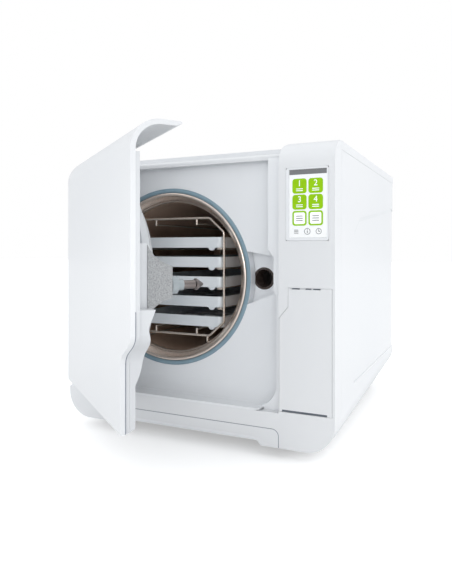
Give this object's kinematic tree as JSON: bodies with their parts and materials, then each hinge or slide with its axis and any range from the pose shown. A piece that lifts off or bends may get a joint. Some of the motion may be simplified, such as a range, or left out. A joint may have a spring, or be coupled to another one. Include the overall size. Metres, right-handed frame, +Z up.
{
  "type": "bench autoclave",
  "caption": "Front-loading bench autoclave with a side-hinged door, round steel chamber, wire rack of trays, service door and filter drawer.",
  "frame": {"origin": "on the bench, under the middle of the whole part with its door ajar as at rest", "axes": "+Z up; -Y is the way the front faces; +X to the user's right"},
  "size_m": [0.486, 0.7631, 0.457],
  "materials": {
    "casing_white": "satin white paint",
    "liner_white": "satin moulded plastic",
    "stainless": "brushed",
    "tray_aluminium": "anodised, satin",
    "silicone": "matt silicone",
    "textured_grey": "speckled texture",
    "black_plastic": "matt",
    "screen_glass": "gloss",
    "steel": "zinc plated",
    "foam": "soft",
    "rubber_feet": "matt",
    "board_green": "lacquered",
    "brass": "satin",
    "clear_plastic": "translucent",
    "filter_white": "satin"
  },
  "bodies": {
    "casing": {"air_filter": "filter_white", "base_pan": "steel", "bay_liner": "liner_white", "chamber": "stainless", "chamber_cradle": "steel", "chamber_lip": "stainless", "cover_screws": "steel", "display_bezel": "liner_white", "display_board": "board_green", "display_glass": "screen_glass", "door_gasket": "silicone", "drain_couplings": "brass", "fan_frame": "black_plastic", "feet": "rubber_feet", "front_fascia": "casing_white", "heater_bands": "steel", "hinge_brackets": "steel", "hinge_pins": "steel", "hinge_post": "steel", "insulation": "foam", "latch_receptacle": "black_plastic", "lock_unit": "black_plastic", "mains_inlet": "black_plastic", "power_board": "board_green", "rack_rails": "stainless", "rack_struts": "stainless", "rear_cover": "casing_white", "service_niche": "liner_white", "side_cover_left": "casing_white", "side_cover_right": "casing_white", "steam_generator": "stainless", "tank_shelf": "steel", "top_cover": "casing_white", "tray_1": "tray_aluminium", "tray_2": "tray_aluminium", "tray_3": "tray_aluminium", "tray_4": "tray_aluminium", "tray_5": "tray_aluminium", "tray_rack": "stainless", "vacuum_pump": "black_plastic", "valve_block": "brass", "water_tank": "clear_plastic"},
    "door": {"door_skin": "casing_white", "door_inner_shell": "liner_white", "door_grip": "liner_white", "pressure_plate": "stainless", "lock_bracket": "textured_grey", "lock_bush": "textured_grey", "lock_pin": "stainless", "hinge_arms": "steel"},
    "service_door_leaf": {"service_door": "casing_white"},
    "filter_drawer": {"drawer_front": "casing_white", "drawer_tray": "liner_white", "dust_filter": "foam"},
    "fan": {"fan_rotor": "black_plastic"}
  },
  "joints": [
    {"name": "door_hinge", "type": "hinge", "parent": "casing", "child": "door", "pos_m": [-0.20452, -0.12477, 0.255], "axis": [0, 0, 1], "range_deg": [-51.9, 38.1]},
    {"name": "service_door_hinge", "type": "hinge", "parent": "casing", "child": "service_door_leaf", "pos_m": [0.23708, -0.16277, 0.0685], "axis": [0, 0, 1], "range_deg": [0, 90]},
    {"name": "drawer_slide", "type": "slide", "parent": "casing", "child": "filter_drawer", "axis": [0, -1, 0], "range_m": [0, 0.13]},
    {"name": "fan_spin", "type": "hinge", "parent": "casing", "child": "fan", "pos_m": [-0.05022, 0.36293, 0.36], "axis": [0, 1, 0], "continuous": true}
  ]
}
